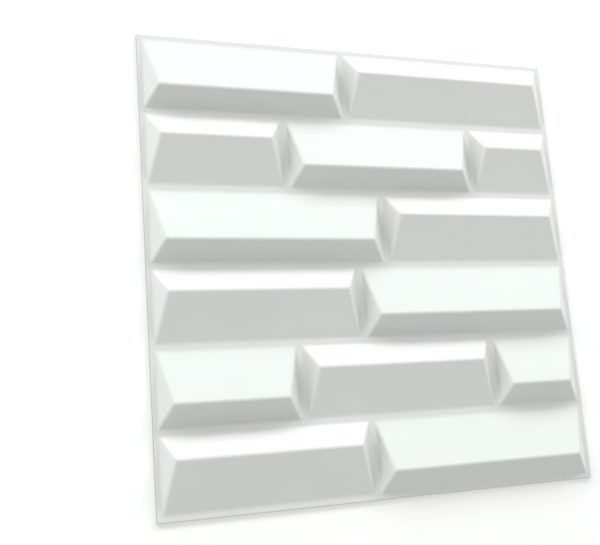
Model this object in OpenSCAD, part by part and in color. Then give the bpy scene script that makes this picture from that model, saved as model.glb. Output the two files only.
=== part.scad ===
// Wall panel tile: one moulded sheet with courses of long hipped blocks that stand out of it.
// It lies on its back, face up. X runs along the courses, Y up the wall and Z out of the wall.
// The origin is the middle of the back.

/* [Panel] */
// Width of the panel, along the courses
panel_w = 500; // [470:5:600]
// Height of the panel, across the courses
panel_h = 500; // [440:5:600]
// Thickness of the moulded sheet, the same in the joints and in the slopes
sheet_t = 2; // [1:0.1:2.5]
// Width of the flat rim around the blocks
rim_w = 6; // [4:0.5:14]

/* [Blocks] */
// Height above the joints at which a block's long slopes meet, before the ridge is rounded
relief_h = 12; // [8:0.5:20]
// Width of the flat joint between blocks
joint_w = 7.5; // [5:0.5:14]
// Plan width of a block's steep long slope, from its foot to the ridge
steep_run = 22.5; // [16:0.5:28]
// Plan width of the slope at each end of a block
end_run = 14; // [10:0.5:22]
// Radius of the rounded ridge, on the face
ridge_r = 6; // [1:0.5:8]
// Radius of the hollow crease at the foot of each slope, on the face
foot_r = 1.5; // [0.5:0.5:3]

/* [Bond] */
// Joint in the first, fourth and sixth courses, from the left edge to its middle
joint_a = 232; // [200:1:240]
// Joint in the third course
joint_b = 267; // [250:1:290]
// Left joint in the second and fifth courses
joint_c = 157; // [120:1:180]
// Right joint in the second and fifth courses
joint_d = 387; // [340:1:395]

/* [Hidden] */
$fn = 64;

// Middles of the joints in each course, from the top course down
course_joints = [
    [joint_a],
    [joint_c, joint_d],
    [joint_b],
    [joint_a],
    [joint_c, joint_d],
    [joint_a],
];
courses = len(course_joints);
pitch = (panel_h - 2 * rim_w + joint_w) / courses;
block_d = pitch - joint_w;

steep_angle = atan(relief_h / steep_run);
long_angle = atan(relief_h / (block_d - steep_run));
end_angle = atan(relief_h / end_run);

// Least radius of a ridge seen from the back, where the wall takes up most of the face's radius
least_r = 0.2;
// Room past a block's foot for its hollow crease
flare = 2 * foot_r;

// How far a slope's foot moves along the floor when slope and floor move in by a wall
function foot_shift(angle, wall) = wall * tan(angle / 2);

// Point where two slopes over a span meet, with both of them and the floor moved in by a wall
function apex(span, angle_a, angle_b, wall) =
    let (
        rise = span / (1 / tan(angle_a) + 1 / tan(angle_b)),
        turn = sin(angle_a + angle_b)
    )
    [
        rise / tan(angle_a) + wall * (cos(angle_b) - cos(angle_a)) / turn,
        sheet_t + rise - wall * (sin(angle_a) + sin(angle_b)) / turn
    ];

// Point at a distance square to a slope, for an angle that is negative on the falling side
function off_slope(from, angle, distance) = from + distance * [-sin(angle), cos(angle)];

// Upright outline of two slopes with a round ridge and hollow feet, all moved in by a wall
module gable(span, angle_a, angle_b, wall) {
    floor_z = sheet_t - wall;
    root_z = floor_z - sheet_t / 2;
    round_r = max(ridge_r - wall, least_r);
    hollow_r = foot_r + wall;
    top = apex(span, angle_a, angle_b, wall + round_r);
    hollow_a = [foot_shift(angle_a, -foot_r), sheet_t + foot_r];
    hollow_b = [span - foot_shift(angle_b, -foot_r), sheet_t + foot_r];
    difference() {
        union() {
            polygon([
                [hollow_a.x, root_z],
                [hollow_a.x, floor_z],
                off_slope(hollow_a, angle_a, -hollow_r),
                off_slope(top, angle_a, round_r),
                off_slope(top, -angle_b, round_r),
                off_slope(hollow_b, -angle_b, -hollow_r),
                [hollow_b.x, floor_z],
                [hollow_b.x, root_z],
            ]);
            translate(top)
                circle(r = round_r);
        }
        for (hollow = [hollow_a, hollow_b])
            translate(hollow)
                circle(r = hollow_r);
    }
}

// Block with four slopes, its lower left foot at the origin, moved in by a wall
module hipped_block(length, low_angle, high_angle, wall) {
    intersection() {
        translate([-flare, 0, 0])
            rotate([90, 0, 90])
                linear_extrude(length + 2 * flare)
                    gable(block_d, low_angle, high_angle, wall);
        translate([0, block_d + flare, 0])
            rotate([90, 0, 0])
                linear_extrude(block_d + 2 * flare)
                    gable(length, end_angle, end_angle, wall);
    }
}

// Blocks of one course, which take turns to have the ridge near the bottom and near the top
module course(number, wall) {
    joints = course_joints[number];
    starts = concat([rim_w], [for (middle = joints) middle + joint_w / 2]);
    stops = concat([for (middle = joints) middle - joint_w / 2], [panel_w - rim_w]);
    for (place = [0 : len(starts) - 1]) {
        ridge_low = (number + place) % 2 == 0;
        translate([starts[place], 0, 0])
            hipped_block(
                stops[place] - starts[place],
                ridge_low ? steep_angle : long_angle,
                ridge_low ? long_angle : steep_angle,
                wall
            );
    }
}

// All the blocks, moved in by a wall
module blocks(wall) {
    for (number = [0 : courses - 1])
        translate([-panel_w / 2, panel_h / 2 - rim_w - number * pitch - block_d, 0])
            course(number, wall);
}

// The whole panel: the flat sheet with the blocks raised on its face and hollow from its back
module panel() {
    color([0.95, 0.95, 0.94])
        difference() {
            union() {
                translate([-panel_w / 2, -panel_h / 2, 0])
                    cube([panel_w, panel_h, sheet_t]);
                blocks(0);
            }
            blocks(sheet_t);
        }
}

panel();
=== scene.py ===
from math import atan, cos, pi, radians, sin, sqrt, tan

import bmesh
import bpy
from mathutils import Matrix, Vector
from mathutils.bvhtree import BVHTree


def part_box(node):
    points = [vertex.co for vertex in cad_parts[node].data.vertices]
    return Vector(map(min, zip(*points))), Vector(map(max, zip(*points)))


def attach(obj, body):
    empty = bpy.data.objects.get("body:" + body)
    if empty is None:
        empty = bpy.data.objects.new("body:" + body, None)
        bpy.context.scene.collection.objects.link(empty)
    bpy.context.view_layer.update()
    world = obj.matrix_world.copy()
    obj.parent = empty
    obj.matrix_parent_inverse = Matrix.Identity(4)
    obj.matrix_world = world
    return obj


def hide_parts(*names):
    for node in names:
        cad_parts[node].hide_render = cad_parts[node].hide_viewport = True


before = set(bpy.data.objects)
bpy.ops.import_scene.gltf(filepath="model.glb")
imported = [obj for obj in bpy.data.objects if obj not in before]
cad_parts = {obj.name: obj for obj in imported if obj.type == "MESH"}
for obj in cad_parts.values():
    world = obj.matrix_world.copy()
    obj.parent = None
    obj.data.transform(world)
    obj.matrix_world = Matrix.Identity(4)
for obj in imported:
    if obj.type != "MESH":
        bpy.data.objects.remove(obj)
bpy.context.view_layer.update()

# The moulded sheet
# One sheet of matt white plastic, pressed hot over a tool. Courses of long hipped blocks stand out of its
# face and are hollow from behind, because the wall is the same all over. Its four edges are trimmed after the
# pressing. It is glued to a wall by the flat back of its rim and joints.
sheet_low, sheet_high = (Vector(corner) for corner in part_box("panel"))
sheet_width = sheet_high.x - sheet_low.x
sheet_length = sheet_high.y - sheet_low.y
wall = 0.002
relief = 0.012
rim = 0.006
joint = 0.0075
steep_run = 0.0225
end_run = 0.014
joint_middles = ((0.232,), (0.157, 0.387), (0.267,), (0.232,), (0.157, 0.387), (0.232,))
block_run = (sheet_length - 2 * rim - (len(joint_middles) - 1) * joint) / len(joint_middles)
hair = 1e-6
same_point = 1e-5

face = bmesh.new()
bmesh.ops.create_grid(face, x_segments=1, y_segments=1, size=0.5)
bmesh.ops.scale(face, vec=(sheet_width, sheet_length, 1), verts=face.verts)
bmesh.ops.translate(face, vec=(0, 0, sheet_low.z + wall), verts=face.verts)


def cut_across(form, low_y, high_y, cut_place, direction, reach):
    """A straight cut through what faces up between two lines across the sheet.

    A corner within its reach counts as on the cut.
    """
    form.normal_update()
    faces = [f for f in form.faces if f.normal.z > 0 and low_y < f.calc_center_median().y < high_y]
    edges = {edge for f in faces for edge in f.edges}
    corners = {corner for f in faces for corner in f.verts}
    bmesh.ops.bisect_plane(
        form, geom=[*faces, *edges, *corners], dist=reach, plane_co=cut_place, plane_no=direction
    )


def raise_block(low_x, high_x, low_y, ridge_y):
    """One block: its flat outline gets four slopes, and the middle closes into the ridge."""
    middle = Vector(((low_x + high_x) / 2, low_y + block_run / 2))
    outline = min(face.faces, key=lambda f: (f.calc_center_median().xy - middle).length)
    bmesh.ops.inset_individual(face, faces=[outline], thickness=end_run / 2, use_even_offset=True)
    for corner in outline.verts:
        on_left = corner.co.x < middle.x
        corner.co = (low_x + end_run if on_left else high_x - end_run, ridge_y, sheet_low.z + wall + relief)


course_tops = [sheet_high.y - rim - number * (block_run + joint) for number in range(len(joint_middles))]
for top in course_tops:
    for line in (top, top - block_run):
        cut_across(face, sheet_low.y, sheet_high.y, (0, line, 0), (0, 1, 0), hair)

# Along a course, and from one course to the next, the blocks take turns to have the ridge low or high.
for number, (top, middles) in enumerate(zip(course_tops, joint_middles)):
    starts = [sheet_low.x + rim] + [sheet_low.x + middle + joint / 2 for middle in middles]
    stops = [sheet_low.x + middle - joint / 2 for middle in middles] + [sheet_high.x - rim]
    for line in starts + stops:
        cut_across(face, top - block_run, top, (line, 0, 0), (1, 0, 0), hair)
    for along, (start, stop) in enumerate(zip(starts, stops)):
        ridge_low = (number + along) % 2 == 0
        ridge_y = top - block_run + steep_run if ridge_low else top - steep_run
        raise_block(start, stop, top - block_run, ridge_y)
bmesh.ops.remove_doubles(face, verts=face.verts, dist=same_point)

# The sheet bends round the tool in a wide radius on ridges and hips, and eases into the joints at the feet,
# over more width where a slope is long. A bevel's width is its radius times the tangent of half the turn.
ridge_radius = 0.006
ridge_turn = atan(relief / steep_run) + atan(relief / (block_run - steep_run))
ridge_bevel = ridge_radius * tan(ridge_turn / 2)
foot_bevel = 0.0014
long_foot_bevel = 0.002
flat_turn = radians(1)
long_foot_turn = radians(15)
bevel_share = face.edges.layers.float.new("bevel_weight_edge")
for edge in face.edges:
    if not edge.is_boundary and edge.calc_face_angle() > flat_turn:
        foot = long_foot_bevel if edge.calc_face_angle() < long_foot_turn else foot_bevel
        edge[bevel_share] = 1 if edge.is_convex else foot / ridge_bevel


def new_effect(name, inputs, outputs):
    """An empty node group with its sockets, and its two ends."""
    group = bpy.data.node_groups.new(name, "ShaderNodeTree")
    for title, kind, value in inputs:
        socket = group.interface.new_socket(title, in_out="INPUT", socket_type=kind)
        socket.default_value = value
    for title, kind in outputs:
        group.interface.new_socket(title, in_out="OUTPUT", socket_type=kind)
    return group, group.nodes.new("NodeGroupInput"), group.nodes.new("NodeGroupOutput")


# The tool leaves a fine grain on the plastic, and the wall cools in slow waves that are hardly there.
waves_per_metre = 30
bump_share = 0.5
pressed_grain, given, result = new_effect(
    "pressed_grain",
    (
        ("Grains per metre", "NodeSocketFloat", 1400),
        ("Grain depth", "NodeSocketFloat", 0.00006),
        ("Wave depth", "NodeSocketFloat", 0.0003),
        ("Least roughness", "NodeSocketFloat", 0.55),
        ("Most roughness", "NodeSocketFloat", 0.7),
    ),
    (("Roughness", "NodeSocketFloat"), ("Normal", "NodeSocketVector")),
)
nodes, links = pressed_grain.nodes, pressed_grain.links
place = nodes.new("ShaderNodeTexCoord")
grains = nodes.new("ShaderNodeTexNoise")
grains.inputs["Detail"].default_value = 2
waves = nodes.new("ShaderNodeTexNoise")
waves.inputs["Scale"].default_value = waves_per_metre
waves.inputs["Detail"].default_value = 1
rough = nodes.new("ShaderNodeMapRange")
wave_relief = nodes.new("ShaderNodeBump")
grain_relief = nodes.new("ShaderNodeBump")
for bump in (wave_relief, grain_relief):
    bump.inputs["Strength"].default_value = bump_share
links.new(place.outputs["Object"], grains.inputs["Vector"])
links.new(place.outputs["Object"], waves.inputs["Vector"])
links.new(given.outputs["Grains per metre"], grains.inputs["Scale"])
links.new(given.outputs["Least roughness"], rough.inputs["To Min"])
links.new(given.outputs["Most roughness"], rough.inputs["To Max"])
links.new(given.outputs["Wave depth"], wave_relief.inputs["Distance"])
links.new(given.outputs["Grain depth"], grain_relief.inputs["Distance"])
links.new(grains.outputs["Fac"], rough.inputs["Value"])
links.new(waves.outputs["Fac"], wave_relief.inputs["Height"])
links.new(grains.outputs["Fac"], grain_relief.inputs["Height"])
links.new(wave_relief.outputs["Normal"], grain_relief.inputs["Normal"])
links.new(rough.outputs["Result"], result.inputs["Roughness"])
links.new(grain_relief.outputs["Normal"], result.inputs["Normal"])

# The white isn't one white all over: the pigment drifts a little between two near tones.
drifting_white, given, result = new_effect(
    "drifting_white",
    (
        ("Clear tone", "NodeSocketColor", (0.84, 0.85, 0.84, 1)),
        ("Dull tone", "NodeSocketColor", (0.81, 0.82, 0.81, 1)),
        ("Clouds per metre", "NodeSocketFloat", 14),
    ),
    (("Colour", "NodeSocketColor"),),
)
nodes, links = drifting_white.nodes, drifting_white.links
place = nodes.new("ShaderNodeTexCoord")
clouds = nodes.new("ShaderNodeTexNoise")
clouds.inputs["Detail"].default_value = 3
drift = nodes.new("ShaderNodeMix")
drift.data_type = "RGBA"
links.new(place.outputs["Object"], clouds.inputs["Vector"])
links.new(given.outputs["Clouds per metre"], clouds.inputs["Scale"])
links.new(given.outputs["Clear tone"], drift.inputs["A"])
links.new(given.outputs["Dull tone"], drift.inputs["B"])
links.new(clouds.outputs["Fac"], drift.inputs["Factor"])
links.new(drift.outputs["Result"], result.inputs["Colour"])

mirror_share = 0.3


def white_plastic(name, clear_tone, dull_tone, grains_per_metre, grain_depth, least_rough, most_rough):
    """One finish of the same plastic, with the shared grain and the shared drift of white."""
    finish = bpy.data.materials.new(name)
    finish.use_nodes = True
    nodes, links = finish.node_tree.nodes, finish.node_tree.links
    skin = nodes["Principled BSDF"]
    skin.inputs["Specular IOR Level"].default_value = mirror_share
    grain = nodes.new("ShaderNodeGroup")
    grain.node_tree = pressed_grain
    grain.inputs["Grains per metre"].default_value = grains_per_metre
    grain.inputs["Grain depth"].default_value = grain_depth
    grain.inputs["Least roughness"].default_value = least_rough
    grain.inputs["Most roughness"].default_value = most_rough
    white = nodes.new("ShaderNodeGroup")
    white.node_tree = drifting_white
    white.inputs["Clear tone"].default_value = (*clear_tone, 1)
    white.inputs["Dull tone"].default_value = (*dull_tone, 1)
    links.new(white.outputs["Colour"], skin.inputs["Base Color"])
    links.new(grain.outputs["Roughness"], skin.inputs["Roughness"])
    links.new(grain.outputs["Normal"], skin.inputs["Normal"])
    return finish


# The face is matt from the tool, and the back is smoother. The cut edges are rough, and their tone is painted
# dark as shade, so that they draw a dark outline.
face_finish = white_plastic(
    "matt_white_face", (0.84, 0.85, 0.84), (0.81, 0.82, 0.81), 1400, 0.00006, 0.7, 0.85
)
back_finish = white_plastic(
    "smooth_white_back", (0.82, 0.83, 0.82), (0.79, 0.8, 0.79), 700, 0.00003, 0.4, 0.5
)
edge_finish_painted_shade = white_plastic(
    "trimmed_edge_painted_shade", (0.58, 0.58, 0.57), (0.42, 0.42, 0.41), 3000, 0.0001, 0.65, 0.85
)

# Painted shade lies over the face: a grey tone is mixed into its colour as strongly as the sheet's own points
# say, unevenly mottled.
shade_mottles_per_metre = 260
faintest_painted_shade = 0.45
deepest_painted_shade = 0.75
painted_shade_grey = (0.42, 0.42, 0.41, 1)
nodes, links = face_finish.node_tree.nodes, face_finish.node_tree.links
skin = nodes["Principled BSDF"]
# The stored painted shade darkens the base colour here, mottled by noise.
painted_shade_mask = nodes.new("ShaderNodeAttribute")
painted_shade_mask.attribute_name = "painted_crease_shade"
place = nodes.new("ShaderNodeTexCoord")
shade_mottle = nodes.new("ShaderNodeTexNoise")
shade_mottle.inputs["Scale"].default_value = shade_mottles_per_metre
shade_mottle.inputs["Detail"].default_value = 4
mottled_shade_strength = nodes.new("ShaderNodeMapRange")
mottled_shade_strength.inputs["To Min"].default_value = faintest_painted_shade
mottled_shade_strength.inputs["To Max"].default_value = deepest_painted_shade
painted_shade_share = nodes.new("ShaderNodeMath")
painted_shade_share.operation = "MULTIPLY"
painted_shade_share.use_clamp = True
shaded_colour = nodes.new("ShaderNodeMix")
shaded_colour.data_type = "RGBA"
shaded_colour.inputs["B"].default_value = painted_shade_grey
links.new(place.outputs["Object"], shade_mottle.inputs["Vector"])
links.new(shade_mottle.outputs["Fac"], mottled_shade_strength.inputs["Value"])
links.new(painted_shade_mask.outputs["Fac"], painted_shade_share.inputs[0])
links.new(mottled_shade_strength.outputs["Result"], painted_shade_share.inputs[1])
links.new(painted_shade_share.outputs["Value"], shaded_colour.inputs["Factor"])
links.new(skin.inputs["Base Color"].links[0].from_socket, shaded_colour.inputs["A"])
links.new(shaded_colour.outputs["Result"], skin.inputs["Base Color"])

sheet_mesh = bpy.data.meshes.new("moulded_sheet")
face.to_mesh(sheet_mesh)
face.free()
sheet_mesh.shade_smooth()
finishes = (face_finish, back_finish, edge_finish_painted_shade)
for finish in finishes:
    sheet_mesh.materials.append(finish)
sheet = bpy.data.objects.new("moulded_sheet", sheet_mesh)
bpy.context.scene.collection.objects.link(sheet)

# The face is bent at its creases and gets its wall, its back, and four trimmed edges that a file has eased.
crease_segments = 6
cut_corner = radians(60)
edge_easing = 0.0004
edge_segments = 2
creases = sheet.modifiers.new("creases", "BEVEL")
creases.limit_method = "WEIGHT"
creases.width = ridge_bevel
creases.segments = crease_segments
creases.profile = 0.5
wall_depth = sheet.modifiers.new("wall", "SOLIDIFY")
wall_depth.thickness = wall
wall_depth.offset = -1
wall_depth.use_even_offset = True
wall_depth.use_quality_normals = True
wall_depth.material_offset = finishes.index(back_finish)
wall_depth.material_offset_rim = finishes.index(edge_finish_painted_shade)
eased_edges = sheet.modifiers.new("eased_edges", "BEVEL")
eased_edges.limit_method = "ANGLE"
eased_edges.angle_limit = cut_corner
eased_edges.width = edge_easing
eased_edges.segments = edge_segments
# The eased strips take the edge finish too, with its painted dark shade.
eased_edges.material = finishes.index(edge_finish_painted_shade)
shell = bmesh.new()
shell.from_object(sheet, bpy.context.evaluated_depsgraph_get())
sheet.modifiers.clear()

# Painted shade goes where the blocks stand close and hide the room. A net of cuts gives the face enough
# points, and each one looks round for how much of its view the sheet closes. At an open one a glance will do.
net = 0.005
net_reach = 0.0001
for line in range(1, int(sheet_width / net)):
    cut_across(shell, sheet_low.y, sheet_high.y, (sheet_low.x + line * net, 0, 0), (1, 0, 0), net_reach)
for line in range(1, int(sheet_length / net)):
    cut_across(shell, sheet_low.y, sheet_high.y, (0, sheet_low.y + line * net, 0), (0, 1, 0), net_reach)

looks = 144
glance = 8
look_reach = 0.05
closed_when_shaded = 0.2
most_painted_shade = 1.2
evening_turns = 4
eye_height = 0.0001
turn_between_looks = pi * (3 - sqrt(5))
rays = []
for look in range(looks):
    spread = sqrt((look + 0.5) / looks)
    turn = look * turn_between_looks
    rays.append(Vector((spread * cos(turn), spread * sin(turn), sqrt(1 - spread**2))))


def closed_share(eye, upright, some_rays):
    """How much of a point's view the sheet closes, from 0 to 1."""
    hits = sum(shell_shape.ray_cast(eye, upright @ ray, look_reach)[0] is not None for ray in some_rays)
    return hits / len(some_rays)


shell.normal_update()
shell_shape = BVHTree.FromBMesh(shell)
# Painted shade: each face point stores how dark its colour is made, from how closed its view is.
painted_crease_shade = shell.verts.layers.float.new("painted_crease_shade")
face_points = [point for point in shell.verts if point.normal.z > 0]
for point in face_points:
    upright = point.normal.to_track_quat("Z", "Y")
    eye = point.co + point.normal * eye_height
    closed = closed_share(eye, upright, rays) if closed_share(eye, upright, rays[::glance]) > 0 else 0
    point[painted_crease_shade] = min(most_painted_shade, (closed / closed_when_shaded) ** 2)
for turn in range(evening_turns):
    neighbours_painted_shade = []
    for point in face_points:
        near = [edge.other_vert(point)[painted_crease_shade] for edge in point.link_edges]
        neighbours_painted_shade.append(sum(near) / len(near))
    for point, mean_painted_shade_near in zip(face_points, neighbours_painted_shade):
        point[painted_crease_shade] = (point[painted_crease_shade] + mean_painted_shade_near) / 2
shell.to_mesh(sheet_mesh)
shell.free()

flat_slopes = sheet.modifiers.new("flat_slopes", "WEIGHTED_NORMAL")
flat_slopes.keep_sharp = True
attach(sheet, "root")
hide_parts("panel")

# The floor
# A pale studio floor under the panel. To the camera and in reflections it has white added, so that it shows
# as white and still takes the panel's shadow. Away from the panel it goes over into plain white.
floor_size = 30
floor_drop = 0.00005
floor_white = (0.93, 0.93, 0.93, 1)
added_white = 0.18
shadow_reach = 0.5
all_white_from = 1
floor_form = bmesh.new()
bmesh.ops.create_grid(floor_form, x_segments=1, y_segments=1, size=floor_size / 2)
bmesh.ops.translate(floor_form, vec=(0, 0, sheet_low.z - floor_drop), verts=floor_form.verts)
floor_mesh = bpy.data.meshes.new("floor")
floor_form.to_mesh(floor_mesh)
floor_form.free()
floor = bpy.data.objects.new("floor", floor_mesh)
bpy.context.scene.collection.objects.link(floor)


def seen_ray(nodes, links):
    """A socket that is 1 for what the camera sees, straight, in a reflection or through glass, and else 0."""
    path = nodes.new("ShaderNodeLightPath")
    straight_or_glossy = nodes.new("ShaderNodeMath")
    straight_or_glossy.operation = "MAXIMUM"
    seen = nodes.new("ShaderNodeMath")
    seen.operation = "MAXIMUM"
    links.new(path.outputs["Is Camera Ray"], straight_or_glossy.inputs[0])
    links.new(path.outputs["Is Glossy Ray"], straight_or_glossy.inputs[1])
    links.new(straight_or_glossy.outputs["Value"], seen.inputs[0])
    links.new(path.outputs["Is Transmission Ray"], seen.inputs[1])
    return seen.outputs["Value"]


paper = bpy.data.materials.new("pale_floor")
paper.use_nodes = True
nodes, links = paper.node_tree.nodes, paper.node_tree.links
nodes.remove(nodes["Principled BSDF"])
paint = nodes.new("ShaderNodeBsdfDiffuse")
paint.inputs["Color"].default_value = floor_white
white_seen = nodes.new("ShaderNodeMath")
white_seen.operation = "MULTIPLY"
white_seen.inputs[1].default_value = added_white
glow = nodes.new("ShaderNodeEmission")
both = nodes.new("ShaderNodeAddShader")
place = nodes.new("ShaderNodeTexCoord")
away = nodes.new("ShaderNodeVectorMath")
away.operation = "LENGTH"
fading = nodes.new("ShaderNodeMapRange")
fading.inputs["From Min"].default_value = shadow_reach
fading.inputs["From Max"].default_value = all_white_from
far_and_seen = nodes.new("ShaderNodeMath")
far_and_seen.operation = "MULTIPLY"
plain_white = nodes.new("ShaderNodeEmission")
ground = nodes.new("ShaderNodeMixShader")
seen = seen_ray(nodes, links)
links.new(seen, white_seen.inputs[0])
links.new(white_seen.outputs["Value"], glow.inputs["Strength"])
links.new(paint.outputs["BSDF"], both.inputs[0])
links.new(glow.outputs["Emission"], both.inputs[1])
links.new(place.outputs["Object"], away.inputs[0])
links.new(away.outputs["Value"], fading.inputs["Value"])
links.new(fading.outputs["Result"], far_and_seen.inputs[0])
links.new(seen, far_and_seen.inputs[1])
links.new(far_and_seen.outputs["Value"], ground.inputs["Fac"])
links.new(both.outputs["Shader"], ground.inputs[1])
links.new(plain_white.outputs["Emission"], ground.inputs[2])
links.new(ground.outputs["Shader"], nodes["Material Output"].inputs["Surface"])
floor_mesh.materials.append(paper)

# Studio light
# Three soft boxes stand in a low arc beyond the panel's top edge, so that their light rakes down the courses.
# Even light from the whole room fills the shaded slopes, and the room itself shows as white.
box_distance = 5
half_width_angle = radians(13)
half_depth_angle = radians(4)
box_width = 2 * box_distance * tan(half_width_angle)
box_depth = 2 * box_distance * tan(half_depth_angle)


def stand_soft_box(name, turn, height, width, watts, colour):
    """A soft box aimed at the panel's middle, turned in degrees from the top edge towards -X, and raised."""
    light = bpy.data.lights.new(name, "AREA")
    light.shape = "RECTANGLE"
    light.size = width
    light.size_y = box_depth
    light.energy = watts
    light.color = colour
    box = bpy.data.objects.new(name, light)
    turned = Matrix.Rotation(radians(turn), 3, "Z") @ Matrix.Rotation(radians(height), 3, "X")
    box.location = turned @ Vector((0, box_distance, 0))
    box.rotation_euler = (-box.location).to_track_quat("-Z", "Y").to_euler()
    bpy.context.scene.collection.objects.link(box)


stand_soft_box("low_back_box", 0, 11.5, 2 * box_width, 100, (0.6, 0.87, 1))
stand_soft_box("left_box", 40, 16, box_width, 127, (1, 1, 0.95))
stand_soft_box("right_box", -40, 16, box_width, 127, (1, 1, 0.95))

room_light = 0.605
room_colour = (0.985, 1, 0.97, 1)
world = bpy.data.worlds.new("white_room")
world.use_nodes = True
bpy.context.scene.world = world
nodes, links = world.node_tree.nodes, world.node_tree.links
shed_light = nodes["Background"]
shed_light.inputs["Color"].default_value = room_colour
shed_light.inputs["Strength"].default_value = room_light
white_room = nodes.new("ShaderNodeBackground")
white_room.inputs["Color"].default_value = (1, 1, 1, 1)
room = nodes.new("ShaderNodeMixShader")
links.new(seen_ray(nodes, links), room.inputs["Fac"])
links.new(shed_light.outputs["Background"], room.inputs[1])
links.new(white_room.outputs["Background"], room.inputs[2])
links.new(room.outputs["Shader"], nodes["World Output"].inputs["Surface"])

# The camera
# It looks down on the panel from the lower left and is turned a little, so that the panel's outline falls
# where it does in the photograph. The focal length is in the picture's own pixels.
camera_place = Vector((-0.398, -0.173, 0.848))
camera_aim = Vector((-0.0854, -0.0073, 0.0))
camera_roll = radians(-4.33)
image_width = 600
focal_pixels = 861
sensor_width = 36
view_line = camera_aim - camera_place
up_the_panel = Vector((0, 1, 0))
across = view_line.cross(up_the_panel).normalized()
upwards = across.cross(view_line).normalized()
unrolled = Matrix((across, upwards, -view_line.normalized())).transposed()
rolled = unrolled @ Matrix.Rotation(camera_roll, 3, "Z")
camera_lens = bpy.data.cameras.new("camera")
camera_lens.sensor_width = sensor_width
camera_lens.lens = focal_pixels * sensor_width / image_width
camera = bpy.data.objects.new("camera", camera_lens)
camera.matrix_world = Matrix.Translation(camera_place) @ rolled.to_4x4()
bpy.context.scene.collection.objects.link(camera)
bpy.context.scene.camera = camera

bpy.context.scene.view_settings.view_transform = "Standard"
